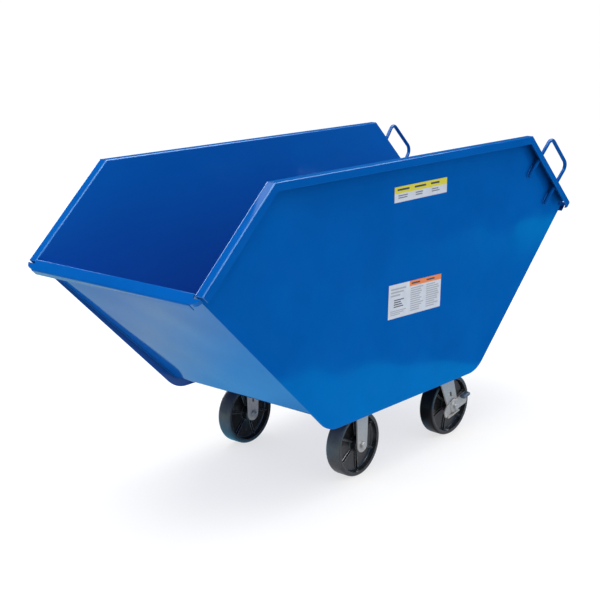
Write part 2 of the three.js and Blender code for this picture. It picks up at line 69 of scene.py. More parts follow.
# Handles.
BAR_RADIUS = 0.00635
BAR_BEND = 0.024
BAR_CHAMFER = 0.0008
BAR_SIDES = 28
HANDLE_LEGS = (0.106, 0.2584)
HANDLE_REACH = 0.077
HANDLE_ROOT = -0.088
HANDLE_SPLAY = 0.014

# Casters.
WHEEL_RADIUS = 0.1016
HUB_HALF = 0.030
HUB_BORE = 0.014
TREAD_FROM = 0.0965
TREAD_FADE = 0.003
WHEEL_STEPS = 128
RIBS = 6
LEVER_TILT = math.radians(13.6)
SIDES = {"left": -1, "right": 1}
# Corner: (phase of the first rib, turn of the caster about its kingpin, both in degrees,
# how far the tread is worn grey, 0 to 1).
CORNERS = {
    "front_left": (85, 0, 1.0),
    "front_right": (70, 0, 1.0),
    "rear_left": (100, -3, 0.0),
    "rear_right": (85, 0, 0.0),
}

# Radius of each kind of weld bead.
SEAM_BEAD = 0.0034
CORNER_BEAD = 0.0013
PAD_BEAD = 0.0030
LEG_BEAD = 0.0031
RING_BEAD = 0.0018
# How far a bead's middle is from the panel's face, how far down the slope the seam starts,
# and the stitches along each end of a caster pad.
BEAD_LIFT = 0.0012
SEAM_START = 0.012
STITCHES = 7
STITCH_HALF = 0.016

# Points of the CAD facets this close are joined; edges sharper than this angle are
# rounded, in this many steps.
FACET_MERGE = 0.000002
BEVEL_STEPS = 2
BEVEL_ANGLE = math.radians(30)

# Light. The sky brightens upward between two heights of its direction, and the camera sees
# a white backdrop. Shiny surfaces see a dim blue horizon and two bright patches, one
# overhead and one low on the right, each given by its direction and the cosines where it
# fades in.
SKY_RISE = (0.05, 0.65)
SKY_TONE = (0.22, 1.10)
BACKDROP = (1.0, 1.0, 1.0)
HORIZON_GLOSS = (0.02, 0.13, 0.28)
PATCH_GLOSS = (7.5, 7.6, 7.8)
PATCHES = [
    ((0.27, -0.27, 0.92), (0.74, 0.80)),
    ((0.20, 0.91, 0.37), (0.955, 0.98)),
]
SOFTBOX_AT = (-0.2, 0.4, 4.6)
SOFTBOX_AIM = (0, 0, 0.5)
SOFTBOX_SIZE = (5.0, 5.0)
SOFTBOX_POWER = 170
# The studio floor is a pale square that glows a little, to come out white.
FLOOR_HALF = 90.0
FLOOR_TONE = (0.35, 0.37)
FLOOR_GLOW = 0.67
# What shiny surfaces see of that floor is a sheet just above it, coloured by the distance
# from the middle of the cart: (distance, colour).
REFLECTED_FLOOR_Z = 0.004
# Under the cart the reflected floor is near black, a painted shade of the cart.
UNDER_GLOSS = (0.006, 0.007, 0.010)
FLOOR_GLOSS = [
    (0.10, UNDER_GLOSS),
    (0.30, (0.16, 0.60, 1.00)),
    (0.45, (0.18, 0.58, 0.92)),
    (0.60, (0.33, 0.62, 0.75)),
    (0.78, (0.52, 0.70, 0.60)),
    (0.95, (0.46, 0.60, 0.54)),
    (1.30, (0.36, 0.62, 0.62)),
    (4.00, (0.10, 0.30, 0.42)),
]
# The same on the left of the cart: bright close in, dim from 1.3 m, bright again far out.
SIDE_GLOSS = [
    (1.27, (0.00, 1.00, 1.95)),
    (1.33, (0.00, 0.30, 0.80)),
    (3.00, (0.00, 0.30, 0.80)),
    (3.80, (0.00, 0.55, 1.10)),
    (4.40, (0.00, 1.10, 1.90)),
]
FLOOR_GLOSS_REACH = 4.5
# Zones of that sheet with a colour of their own: x span, y span, width of the soft edge.
LEFT_ZONE = ((0.02, FLOOR_HALF), (-FLOOR_HALF, -0.62), 0.08)
FAR_LEFT_ZONE = ((0.02, FLOOR_HALF), (-FLOOR_HALF, -2.06), 0.12)
REAR_ZONE = ((-0.05, FLOOR_HALF), (-0.15, FLOOR_HALF), 0.10)
TREAD_ZONE = ((-0.62, -0.10), (-0.40, -0.08), 0.16)
# Zone of painted shade under the cart.
UNDER_ZONE = ((-0.12, 0.22), (-0.18, 0.16), 0.05)
WHEEL_ZONE = ((-0.20, 1.20), (-0.62, -0.18), 0.06)
FAR_LEFT_GLOSS = (0.00, 0.20, 0.62)
REAR_GLOSS = (0.30, 0.40, 0.52)
WHEEL_GLOSS = (0.50, 0.51, 0.55)

# Camera: where the picture was taken from, its field of view, its off-centre crop and how
# far it sees.
CAMERA_AT = (-3.0457, -2.4612, 1.4628)
CAMERA_YAW = 49.63
CAMERA_PITCH = -14.31
FOCAL_LENGTH = 76.69
SENSOR = 36.0
CAMERA_SHIFT = (0.0013, 0.0072)
CAMERA_DEPTH = 500


# ---------------------------------------------------------------- camera, light


def add_camera():
    data = bpy.data.cameras.new("studio_camera")
    data.sensor_width = SENSOR
    data.lens = FOCAL_LENGTH
    data.shift_x, data.shift_y = CAMERA_SHIFT
    data.clip_end = CAMERA_DEPTH
    camera = bpy.data.objects.new("studio_camera", data)
    camera.location = CAMERA_AT
    camera.rotation_euler = (math.radians(90 + CAMERA_PITCH), 0, math.radians(-CAMERA_YAW))
    bpy.context.scene.collection.objects.link(camera)
    bpy.context.scene.camera = camera


def add_world():
    """Soft sky for light, a white backdrop, and a horizon with bright patches to reflect."""
    world = bpy.data.worlds.new("studio_world")
    world.use_nodes = True
    tree = world.node_tree
    direction = add_node(tree, "ShaderNodeTexCoord").outputs["Generated"]
    reflected = HORIZON_GLOSS
    for axis, fade in PATCHES:
        toward = add_node(tree, "ShaderNodeVectorMath", operation="DOT_PRODUCT")
        tree.links.new(direction, toward.inputs[0])
        toward.inputs[1].default_value = axis
        share = map_range(tree, toward.outputs["Value"], fade, (0.0, 1.0))
        reflected = mix_colour(tree, share, reflected, PATCH_GLOSS)
    split = add_node(tree, "ShaderNodeSeparateXYZ")
    tree.links.new(direction, split.inputs["Vector"])
    sky = map_range(tree, split.outputs["Z"], SKY_RISE, SKY_TONE)
    path = add_node(tree, "ShaderNodeLightPath")
    white = combine_colour(tree, sky, sky, sky)
    lit = mix_colour(tree, path.outputs["Is Glossy Ray"], white, reflected)
    colour = mix_colour(tree, path.outputs["Is Camera Ray"], lit, BACKDROP)
    tree.links.new(colour, tree.nodes["Background"].inputs["Color"])
    bpy.context.scene.world = world


def add_softbox():
    data = bpy.data.lights.new("softbox_top", "AREA")
    data.shape = "RECTANGLE"
    data.size, data.size_y = SOFTBOX_SIZE
    data.energy = SOFTBOX_POWER
    light = bpy.data.objects.new("softbox_top", data)
    light.location = SOFTBOX_AT
    direction = Vector(SOFTBOX_AIM) - Vector(SOFTBOX_AT)
    light.rotation_euler = direction.to_track_quat("-Z", "Y").to_euler()
    bpy.context.scene.collection.objects.link(light)


def floor_square(name, height):
    half = FLOOR_HALF
    corners = [(-half, -half), (half, -half), (half, half), (-half, half)]
    mesh = bpy.data.meshes.new(name)
    mesh.from_pydata([(x, y, height) for x, y in corners], [], [(0, 1, 2, 3)])
    return link_piece(name, mesh)


def add_floor():
    material, tree, shader = new_material("studio_floor")
    grain = noise_node(tree, scale=3.0, detail=3)
    tone = map_range(tree, grain, (0.3, 0.7), FLOOR_TONE)
    colour = combine_colour(tree, tone, tone, tone)
    tree.links.new(colour, shader.inputs["Base Color"])
    shader.inputs["Roughness"].default_value = 0.85
    shader.inputs["Specular IOR Level"].default_value = 0.0
    shader.inputs["Emission Color"].default_value = (1, 1, 1, 1)
    shader.inputs["Emission Strength"].default_value = FLOOR_GLOW
    floor = floor_square("studio_floor", 0.0)
    floor.data.materials.append(material)


def colour_ramp(tree, source, reach, steps):
    """Colour by distance; a step is (distance, colour)."""
    ramp = add_node(tree, "ShaderNodeValToRGB")
    tree.links.new(map_range(tree, source, (0.0, reach), (0.0, 1.0)), ramp.inputs["Fac"])
    stops = ramp.color_ramp.elements
    while len(stops) < len(steps):
        stops.new(0.5)
    for stop, (distance, colour) in zip(stops, steps):
        stop.position = distance / reach
        stop.color = (*colour, 1)
    return ramp.outputs["Color"]


def floor_zone(tree, place, zone):
    """1 inside a zone of the reflected floor, 0 outside, with a soft edge between."""
    *spans, soft = zone
    half = soft / 2
    share = 1.0
    for axis, (low, high) in zip(("X", "Y"), spans):
        above = map_range(tree, place.outputs[axis], (low - half, low + half), (0.0, 1.0))
        below = map_range(tree, place.outputs[axis], (high - half, high + half), (1.0, 0.0))
        within = calculate(tree, "MULTIPLY", above, below)
        share = calculate(tree, "MULTIPLY", within, share)
    return share


def add_reflected_floor():
    """Sheet over the floor, seen only in reflections, painted by distance and in zones."""
    sheet = floor_square("studio_reflected_floor", REFLECTED_FLOOR_Z)
    material, tree, shader = new_material("studio_reflected_floor")
    distance = add_node(tree, "ShaderNodeVectorMath", operation="LENGTH")
    tree.links.new(object_point(tree), distance.inputs[0])
    place = add_node(tree, "ShaderNodeSeparateXYZ")
    tree.links.new(object_point(tree), place.inputs["Vector"])
    colour = colour_ramp(tree, distance.outputs["Value"], FLOOR_GLOSS_REACH, FLOOR_GLOSS)
    beside = colour_ramp(tree, distance.outputs["Value"], FLOOR_GLOSS_REACH, SIDE_GLOSS)
    zones = [
        (REAR_ZONE, REAR_GLOSS),
        (LEFT_ZONE, beside),
        (FAR_LEFT_ZONE, FAR_LEFT_GLOSS),
        (UNDER_ZONE, UNDER_GLOSS),
        (TREAD_ZONE, WHEEL_GLOSS),
        (WHEEL_ZONE, WHEEL_GLOSS),
    ]
    for zone, gloss in zones:
        colour = mix_colour(tree, floor_zone(tree, place, zone), colour, gloss)
    shader.inputs["Base Color"].default_value = (0, 0, 0, 1)
    shader.inputs["Specular IOR Level"].default_value = 0.0
    tree.links.new(colour, shader.inputs["Emission Color"])
    shader.inputs["Emission Strength"].default_value = 1.0
    sheet.data.materials.append(material)
    sheet.visible_camera = False
    sheet.visible_diffuse = False
    sheet.visible_shadow = False
    sheet.visible_transmission = False


# ------------------------------------------------------------- material helpers


def new_material(name):
    material = bpy.data.materials.new(name)
    material.use_nodes = True
    tree = material.node_tree
    return material, tree, tree.nodes["Principled BSDF"]


def add_node(tree, kind, **settings):
    node = tree.nodes.new(kind)
    for name, value in settings.items():
        setattr(node, name, value)
    return node


def object_point(tree):
    return add_node(tree, "ShaderNodeTexCoord").outputs["Object"]


def noise_node(tree, scale, detail=2.0, roughness=0.5, stretch=(1, 1, 1)):
    """Noise in object space, its value output; stretch scales the three axes."""
    mapping = add_node(tree, "ShaderNodeMapping")
    mapping.inputs["Scale"].default_value = stretch
    tree.links.new(object_point(tree), mapping.inputs["Vector"])
    texture = add_node(tree, "ShaderNodeTexNoise")
    texture.inputs["Scale"].default_value = scale
    texture.inputs["Detail"].default_value = detail
    texture.inputs["Roughness"].default_value = roughness
    tree.links.new(mapping.outputs["Vector"], texture.inputs["Vector"])
    return texture.outputs["Fac"]


def map_range(tree, source, from_range, to_range):
    node = add_node(tree, "ShaderNodeMapRange")
    tree.links.new(source, node.inputs["Value"])
    node.inputs["From Min"].default_value = from_range[0]
    node.inputs["From Max"].default_value = from_range[1]
    node.inputs["To Min"].default_value = to_range[0]
    node.inputs["To Max"].default_value = to_range[1]
    return node.outputs["Result"]


def calculate(tree, operation, first, second=0.0):
    """One Math node; each operand is a number or a socket."""
    node = add_node(tree, "ShaderNodeMath", operation=operation)
    for index, operand in enumerate((first, second)):
        if isinstance(operand, (int, float)):
            node.inputs[index].default_value = operand
        else:
            tree.links.new(operand, node.inputs[index])
    return node.outputs["Value"]


def combine_colour(tree, red, green, blue):
    node = add_node(tree, "ShaderNodeCombineColor")
    for socket, value in zip(node.inputs, (red, green, blue)):
        tree.links.new(value, socket)
    return node.outputs["Color"]


def mix_colour(tree, factor, low, high):
    """Mix node; low and high are colours or sockets, factor a socket or a number."""
    node = add_node(tree, "ShaderNodeMix", data_type="RGBA")
    if isinstance(factor, (int, float)):
        node.inputs[0].default_value = factor
    else:
        tree.links.new(factor, node.inputs[0])
    for socket, value in ((node.inputs[6], low), (node.inputs[7], high)):
        if isinstance(value, tuple):
            socket.default_value = (*value, 1)
        else:
            tree.links.new(value, socket)
    return node.outputs[2]


def bump(tree, height, distance, strength=1.0, under=None):
    """Bump normal from a height map with its relief in metres, over another bump if given."""
    node = add_node(tree, "ShaderNodeBump")
    node.inputs["Distance"].default_value = distance
    node.inputs["Strength"].default_value = strength
    tree.links.new(height, node.inputs["Height"])
    if under is not None:
        tree.links.new(under, node.inputs["Normal"])
    return node.outputs["Normal"]


def edge_mask(tree, radius):
    """Near 1 along sharp outer and inner edges, 0 on open faces."""
    rounded = add_node(tree, "ShaderNodeBevel", samples=4)
    rounded.inputs["Radius"].default_value = radius
    true_normal = add_node(tree, "ShaderNodeNewGeometry").outputs["Normal"]
    dot = add_node(tree, "ShaderNodeVectorMath", operation="DOT_PRODUCT")
    tree.links.new(rounded.outputs["Normal"], dot.inputs[0])
    tree.links.new(true_normal, dot.inputs[1])
    return map_range(tree, dot.outputs["Value"], (0.995, 0.90), (0.0, 1.0))


def crevice_mask(tree, distance):
    """Near 1 deep in corners, 0 in the open."""
    node = add_node(tree, "ShaderNodeAmbientOcclusion", samples=4)
    node.inputs["Distance"].default_value = distance
    return map_range(tree, node.outputs["AO"], (0.75, 0.2), (0.0, 1.0))


# -------------------------------------------------------------------- materials


def inside_tub(tree):
    """Share, 1 on the faces that the load touches and 0 outside, and height."""
    place = add_node(tree, "ShaderNodeSeparateXYZ")
    tree.links.new(object_point(tree), place.inputs["Vector"])
    facing = add_node(tree, "ShaderNodeSeparateXYZ")
    geometry = add_node(tree, "ShaderNodeNewGeometry")
    tree.links.new(geometry.outputs["Normal"], facing.inputs["Vector"])
    share = calculate(tree, "GREATER_THAN", facing.outputs["Z"], -0.3)
    for axis, limit in (("X", LIP_HALF - 0.014), ("Y", PANEL_IN + SHEET / 2)):
        distance = calculate(tree, "ABSOLUTE", place.outputs[axis])
        within = calculate(tree, "LESS_THAN", distance, limit)
        share = calculate(tree, "MULTIPLY", within, share)
    return share, place.outputs["Z"]


def enamel_base(tree, tone, inside_shading):
    """Mottled blue, with painted shade low inside the tub and painted light toward its top."""
    mottle = noise_node(tree, scale=5.0, detail=4, roughness=0.6)
    cloud = map_range(tree, mottle, (0.35, 0.65), (0.0, 1.0))
    deep = (0.0002, 0.080 * tone, 0.362 * tone)
    light = (0.0004, 0.093 * tone, 0.402 * tone)
    base = mix_colour(tree, cloud, deep, light)
    inside, height = inside_tub(tree)
    rise = map_range(tree, height, (0.45, 0.90), (0.0, 1.0))
    # Painted light and shade inside the tub: a darker violet blue low down, a lighter blue toward
    # the top.
    inside_light_and_shade = mix_colour(tree, rise, (0.012, 0.074, 0.330), (0.004, 0.122, 0.490))
    return mix_colour(tree, calculate(tree, "MULTIPLY", inside, inside_shading), base, inside_light_and_shade)


def blue_enamel(name, wave=0.0, tone=1.0, inside_shading=0.0, gloss=0.5, corner_shade=0.85):
    """Glossy sprayed enamel on sheet steel.

    Wave is the depth of its oil-canning, tone its lightness and gloss its shine. The other two
    set how strongly light and shade are painted inside the tub, and how dark the painted
    shade in its corners is."""
    material, tree, shader = new_material(name)
    base = enamel_base(tree, tone, inside_shading)
    # Painted shade: a near-black blue deep in corners and rim channels, from ambient occlusion.
    nook = crevice_mask(tree, 0.035)
    painted_shade = calculate(tree, "MULTIPLY", nook, corner_shade)
    shaded = mix_colour(tree, painted_shade, base, (0.001, 0.012, 0.055))
    speckle = noise_node(tree, scale=60.0, detail=5, roughness=0.7)
    edge_breakup = map_range(tree, speckle, (0.42, 0.62), (0.05, 0.5))
    pale_edge = calculate(tree, "MULTIPLY", edge_mask(tree, 0.0022), edge_breakup)
    colour = mix_colour(tree, pale_edge, shaded, (0.05, 0.21, 0.56))
    tree.links.new(colour, shader.inputs["Base Color"])
    haze = noise_node(tree, scale=14.0, detail=5, roughness=0.65)
    tree.links.new(map_range(tree, haze, (0.3, 0.7), (0.06, 0.12)), shader.inputs["Roughness"])
    shine = map_range(tree, nook, (0.0, 1.0), (gloss, 0.08))
    tree.links.new(shine, shader.inputs["Specular IOR Level"])
    shader.inputs["IOR"].default_value = 1.5
    shader.inputs["Specular Tint"].default_value = (0.55, 0.85, 1.0, 1)
    swell = bump(tree, noise_node(tree, scale=3.0, detail=1.0), wave)
    peel = bump(tree, noise_node(tree, scale=420.0, detail=2.0), 0.00003, 0.4, swell)
    tree.links.new(peel, shader.inputs["Normal"])
    return material


def zinc_plate(name, bright):
    """Matt zinc-plated steel with a faint crystalline mottle; bright is its lightest tone."""
    material, tree, shader = new_material(name)
    flake = noise_node(tree, scale=170.0, detail=4, roughness=0.65)
    cloud = noise_node(tree, scale=22.0, detail=3)
    low = tuple(0.80 * channel for channel in bright)
    base = mix_colour(tree, map_range(tree, flake, (0.35, 0.65), (0.0, 1.0)), low, bright)
    haze = map_range(tree, cloud, (0.45, 0.75), (0.0, 0.35))
    hazy = mix_colour(tree, haze, base, (0.36, 0.36, 0.36))
    # Painted shade: darker grey deep in corners.
    painted_shade = calculate(tree, "MULTIPLY", crevice_mask(tree, 0.012), 0.55)
    colour = mix_colour(tree, painted_shade, hazy, (0.10, 0.105, 0.105))
    rubbed = calculate(tree, "MULTIPLY", edge_mask(tree, 0.0012), 0.4)
    edged = mix_colour(tree, rubbed, colour, (0.72, 0.72, 0.72))
    tree.links.new(edged, shader.inputs["Base Color"])
    shader.inputs["Metallic"].default_value = 0.30
    tree.links.new(map_range(tree, flake, (0.3, 0.7), (0.34, 0.52)), shader.inputs["Roughness"])
    tree.links.new(bump(tree, flake, 0.00008, 0.5), shader.inputs["Normal"])
    return material


def bright_steel(name):
    """Machined or plated fastener steel."""
    material, tree, shader = new_material(name)
    turning = noise_node(tree, scale=300.0, detail=2.0, stretch=(0.3, 1.0, 1.0))
    cloud = noise_node(tree, scale=60.0, detail=3)
    streak = map_range(tree, turning, (0.3, 0.7), (0.0, 1.0))
    base = mix_colour(tree, streak, (0.44, 0.43, 0.42), (0.64, 0.62, 0.60))
    # Painted shade: darker deep in corners.
    painted_shade = calculate(tree, "MULTIPLY", crevice_mask(tree, 0.006), 0.6)
    shaded_steel = mix_colour(tree, painted_shade, base, (0.12, 0.12, 0.12))
    tree.links.new(shaded_steel, shader.inputs["Base Color"])
    shader.inputs["Metallic"].default_value = 0.7
    tree.links.new(map_range(tree, cloud, (0.3, 0.7), (0.32, 0.46)), shader.inputs["Roughness"])
    tree.links.new(bump(tree, turning, 0.00005, 0.4), shader.inputs["Normal"])
    return material


def nylon_colour(tree, tread, wear, tone):
    """Black plastic: worn treads greyer, edges paler with wear and painted highlight, corners in
    painted shade.
    """
    moulded = mix_colour(tree, tone, (0.025, 0.028, 0.032), (0.043, 0.048, 0.055))
    rubbed = mix_colour(tree, tone, (0.054, 0.062, 0.073), (0.090, 0.100, 0.116))
    running = mix_colour(tree, wear, (0.006, 0.006, 0.007), rubbed)
    exposed = mix_colour(tree, tread, moulded, running)
    # Painted shade: near black in corners and under the tub.
    shade = calculate(tree, "MULTIPLY", crevice_mask(tree, 0.30), 0.95)
    base = mix_colour(tree, shade, exposed, (0.002, 0.002, 0.002))
    # Paler edges: partly wear, partly a painted highlight along the rim's lip edges.
    speckle = noise_node(tree, scale=240.0, detail=5, roughness=0.7)
    edge_breakup = map_range(tree, speckle, (0.4, 0.65), (0.3, 1.0))
    pale_edge = calculate(tree, "MULTIPLY", edge_mask(tree, 0.0018), edge_breakup)
    return mix_colour(tree, pale_edge, base, (0.26, 0.27, 0.29))


def black_nylon(name):
    """Moulded wheel plastic with a glossy web; the mesh marks its tread and its wear."""
    material, tree, shader = new_material(name)
    tread = add_node(tree, "ShaderNodeAttribute", attribute_name="tread").outputs["Fac"]
    wear = add_node(tree, "ShaderNodeAttribute", attribute_name="wear").outputs["Fac"]
    cloud = noise_node(tree, scale=30.0, detail=4, roughness=0.6)
    tone = map_range(tree, cloud, (0.35, 0.65), (0.0, 1.0))
    tree.links.new(nylon_colour(tree, tread, wear, tone), shader.inputs["Base Color"])
    polish = map_range(tree, cloud, (0.3, 0.7), (0.12, 0.20))
    dull = calculate(tree, "MULTIPLY", tread, 0.18)
    tree.links.new(calculate(tree, "ADD", polish, dull), shader.inputs["Roughness"])
    unworn = calculate(tree, "MULTIPLY", tread, calculate(tree, "SUBTRACT", 1.0, wear))
    shine = map_range(tree, unworn, (0.0, 1.0), (0.5, 0.15))
    tree.links.new(shine, shader.inputs["Specular IOR Level"])
    shader.inputs["IOR"].default_value = 1.6
    shader.inputs["Specular Tint"].default_value = (0.96, 0.96, 1.0, 1)
    grain = bump(tree, noise_node(tree, scale=900.0, detail=2.0), 0.00004, 0.35)
    flow = bump(tree, noise_node(tree, scale=45.0, detail=2.0), 0.00020, 0.4, grain)
    tree.links.new(flow, shader.inputs["Normal"])
    return material


def pedal_rubber(name):
    """Matt slate rubber, paler along its edges."""
    material, tree, shader = new_material(name)
    cloud = noise_node(tree, scale=80.0, detail=4)
    tone = map_range(tree, cloud, (0.3, 0.7), (0.0, 1.0))
    base = mix_colour(tree, tone, (0.045, 0.085, 0.13), (0.075, 0.125, 0.18))
    pale_edge = calculate(tree, "MULTIPLY", edge_mask(tree, 0.001), 0.45)
    tree.links.new(mix_colour(tree, pale_edge, base, (0.19, 0.24, 0.30)), shader.inputs["Base Color"])
    tree.links.new(map_range(tree, cloud, (0.3, 0.7), (0.5, 0.68)), shader.inputs["Roughness"])
    grain = noise_node(tree, scale=700.0, detail=3)
    tree.links.new(bump(tree, grain, 0.0001, 0.6), shader.inputs["Normal"])
    return material


# ----------------------------------------------------------------- decal prints


def label_axes(tree, centre, size, tilt):
    """Across and up on a label, 0 to 1, from object coordinates in the XZ plane."""
    mapping = add_node(tree, "ShaderNodeMapping", vector_type="TEXTURE")
    mapping.inputs["Location"].default_value = (centre[0], 0, centre[1])
    mapping.inputs["Rotation"].default_value = (0, tilt, 0)
    mapping.inputs["Scale"].default_value = (size[0], 1, size[1])
    tree.links.new(object_point(tree), mapping.inputs["Vector"])
    split = add_node(tree, "ShaderNodeSeparateXYZ")
    tree.links.new(mapping.outputs["Vector"], split.inputs["Vector"])
    across = calculate(tree, "ADD", split.outputs["X"], 0.5)
    up = calculate(tree, "ADD", split.outputs["Z"], 0.5)
    return across, up


def between(tree, value, low, high):
    """1 where a value lies between two limits."""
    above = calculate(tree, "GREATER_THAN", value, low)
    below = calculate(tree, "LESS_THAN", value, high)
    return calculate(tree, "MULTIPLY", above, below)


def rectangle(tree, axes, area):
    """1 inside an area of a label, given as (left, right, bottom, top)."""
    left, right, bottom, top = area
    inside = between(tree, axes[0], left, right)
    return calculate(tree, "MULTIPLY", inside, between(tree, axes[1], bottom, top))


def ragged_rows(tree, axes, area, rows):
    """Abstract grey bars of uneven length that fill an area row by row."""
    left, right, bottom, top = area
    place = map_range(tree, axes[1], (bottom, top), (0.0, float(rows)))
    stripe = between(tree, calculate(tree, "FRACT", place), 0.3, 0.8)
    row = calculate(tree, "FLOOR", calculate(tree, "ADD", place, left * 97))
    random = add_node(tree, "ShaderNodeTexWhiteNoise", noise_dimensions="1D")
    tree.links.new(row, random.inputs["W"])
    shortest = left + 0.6 * (right - left)
    reach = map_range(tree, random.outputs["Value"], (0.0, 1.0), (shortest, right))
    short = calculate(tree, "LESS_THAN", axes[0], reach)
    bars = calculate(tree, "MULTIPLY", stripe, short)
    return calculate(tree, "MULTIPLY", bars, rectangle(tree, axes, area))


def label_print(name, centre, size, tilt, bands, blocks):
    """Sticker with plain colour bands and blocks of grey bars; no lettering.

    A band is (area, ink) and a block is (area, rows, ink), with areas as shares of the
    sticker's width and height."""
    material, tree, shader = new_material(name)
    axes = label_axes(tree, centre, size, tilt)
    paper = noise_node(tree, scale=40.0, detail=3)
    fibre = map_range(tree, paper, (0.3, 0.7), (0.0, 1.0))
    colour = mix_colour(tree, fibre, (0.57, 0.60, 0.66), (0.64, 0.67, 0.73))
    for area, ink in bands:
        colour = mix_colour(tree, rectangle(tree, axes, area), colour, ink)
    for area, rows, ink in blocks:
        colour = mix_colour(tree, ragged_rows(tree, axes, area, rows), colour, ink)
    tree.links.new(colour, shader.inputs["Base Color"])
    tree.links.new(map_range(tree, paper, (0.3, 0.7), (0.30, 0.42)), shader.inputs["Roughness"])
    tree.links.new(bump(tree, paper, 0.0001, 0.4), shader.inputs["Normal"])
    return material


def upper_label():
    """Yellow band over three pairs of dark and grey bars."""
    dark = (0.05, 0.05, 0.05)
    grey = (0.14, 0.145, 0.16)
    bands = [((0.0, 1.0, 0.56, 1.0), (0.70, 0.62, 0.02))]
    blocks = []
    for left in (0.05, 0.37, 0.68):
        blocks.append(((left, left + 0.27, 0.66, 0.90), 1, dark))
        blocks.append(((left + 0.02, left + 0.22, 0.20, 0.48), 2, grey))
    return label_print("upper_label", (0.045, 0.856), (0.268, 0.046), 0.0, bands, blocks)


def lower_label():
    """Orange band over two columns of fine bars, with smaller blocks at the left."""
    dark = (0.06, 0.05, 0.05)
    grey = (0.36, 0.37, 0.39)
    bands = [((0.385, 1.0, 0.84, 1.0), (0.80, 0.23, 0.05))]
    blocks = [
        ((0.42, 0.66, 0.87, 0.96), 1, dark),
        ((0.71, 0.96, 0.87, 0.96), 1, dark),
        ((0.41, 0.67, 0.08, 0.80), 11, grey),
        ((0.71, 0.97, 0.08, 0.80), 11, grey),
        ((0.04, 0.33, 0.62, 0.90), 3, grey),
        ((0.10, 0.30, 0.30, 0.56), 4, dark),
        ((0.04, 0.34, 0.08, 0.24), 3, grey),
    ]
    tilt = math.radians(1.9)
    return label_print("lower_label", (0.025, 0.535), (0.270, 0.103), tilt, bands, blocks)


# ----------------------------------------------------------------- mesh helpers


def link_piece(name, mesh):
    piece = bpy.data.objects.new(name, mesh)
    bpy.context.scene.collection.objects.link(piece)
    return piece


def finish_piece(name, build, material, sharp_degrees):
    """Object from a bmesh: outward normals, smooth shading broken at sharp edges."""
    bmesh.ops.recalc_face_normals(build, faces=build.faces)
    mesh = bpy.data.meshes.new(name)
    build.to_mesh(mesh)
    build.free()
    mesh.shade_smooth()
    mesh.set_sharp_from_angle(angle=math.radians(sharp_degrees))
    mesh.materials.append(material)
    return link_piece(name, mesh)


def add_lathe(build, profile, segments, matrix):
    """Closed profile of (radius, y) turned about the Y axis."""
    rings = []
    for radius, y in profile:
        ring = []
        for k in range(segments):
            angle = 2 * math.pi * k / segments
            point = Vector((radius * math.cos(angle), y, radius * math.sin(angle)))
            ring.append(build.verts.new(matrix @ point))
        rings.append(ring)
    for i, ring in enumerate(rings):
        after = rings[(i + 1) % len(rings)]
        for k in range(segments):
            n = (k + 1) % segments
            build.faces.new((ring[k], ring[n], after[n], after[k]))


def ring_at(centre, first, second, radius, count):
    """Points evenly round a circle in the plane of two unit directions."""
    ring = []
    for k in range(count):
        angle = 2 * math.pi * k / count
        ring.append(centre + first * radius * math.cos(angle) + second * radius * math.sin(angle))
    return ring


def add_sweep(build, stations):
    """Closed tube through rings of points; each station is one ring."""
    rings = [[build.verts.new(point) for point in ring] for ring in stations]
    size = len(rings[0])
    for first, second in zip(rings, rings[1:]):
        for k in range(size):
            n = (k + 1) % size
            build.faces.new((first[k], first[n], second[n], second[k]))
    build.faces.new(rings[0][::-1])
    build.faces.new(rings[-1])


def frame_along(points, index, hint):
    """Two directions across a path at one of its points."""
    before = points[max(index - 1, 0)]
    after = points[min(index + 1, len(points) - 1)]
    along = (after - before).normalized()
    side = along.cross(hint).normalized()
    return side, along.cross(side).normalized()


def resample(points, step):
    """Points about one step apart along a polyline."""
    out = [points[0]]
    for start, end in zip(points, points[1:]):
        count = max(1, round((end - start).length / step))
        out += [start.lerp(end, k / count) for k in range(1, count + 1)]
    return out


def add_weld(build, path, radius, hint, seed):
    """Weld bead: a low tube that swells and shrinks like laid ripples."""
    points = resample(path, radius * 0.55)
    stations = []
    for i, point in enumerate(points):
        side, up = frame_along(points, i, hint)
        ripple = 1 + 0.14 * math.sin(i * 1.35)
        wander = 1 + 0.16 * noise.noise(Vector((i * 0.13, seed, 0.0)))
        from_end = min(i, len(points) - 1 - i)
        taper = min(1.0, 0.45 + 0.25 * from_end)
        size = radius * ripple * wander * taper
        stations.append(ring_at(point, side, up, size, 8))
    add_sweep(build, stations)


def round_corners(corners, steps=10):
    """Polyline with its inner corners rounded; a corner is (point, radius)."""
    out = [corners[0][0]]
    for i in range(1, len(corners) - 1):
        here, radius = corners[i]
        arrive = (here - corners[i - 1][0]).normalized()
        leave = (corners[i + 1][0] - here).normalized()
        turn = arrive.angle(leave)
        inward = (leave - arrive).normalized()
        centre = here + inward * radius / math.cos(turn / 2)
        start = here - arrive * radius * math.tan(turn / 2)
        spoke = (start - centre).normalized()
        for k in range(steps + 1):
            angle = turn * k / steps
            out.append(centre + (spoke * math.cos(angle) + arrive * math.sin(angle)) * radius)
    out.append(corners[-1][0])
    return out


# -------------------------------------------------------------------- tub looks

LIP = Vector((-LIP_HALF, 0, LIP_Z))
FOOT = Vector((-FOOT_HALF, 0, FOOT_Z))
DOWN_SLOPE = (FOOT - LIP).normalized()
OUT_OF_SLOPE = Vector((DOWN_SLOPE.z, 0, -DOWN_SLOPE.x))
RISE = Vector((LIP_HALF - TOP_HALF, 0, TOP_Z - LIP_Z)).normalized()


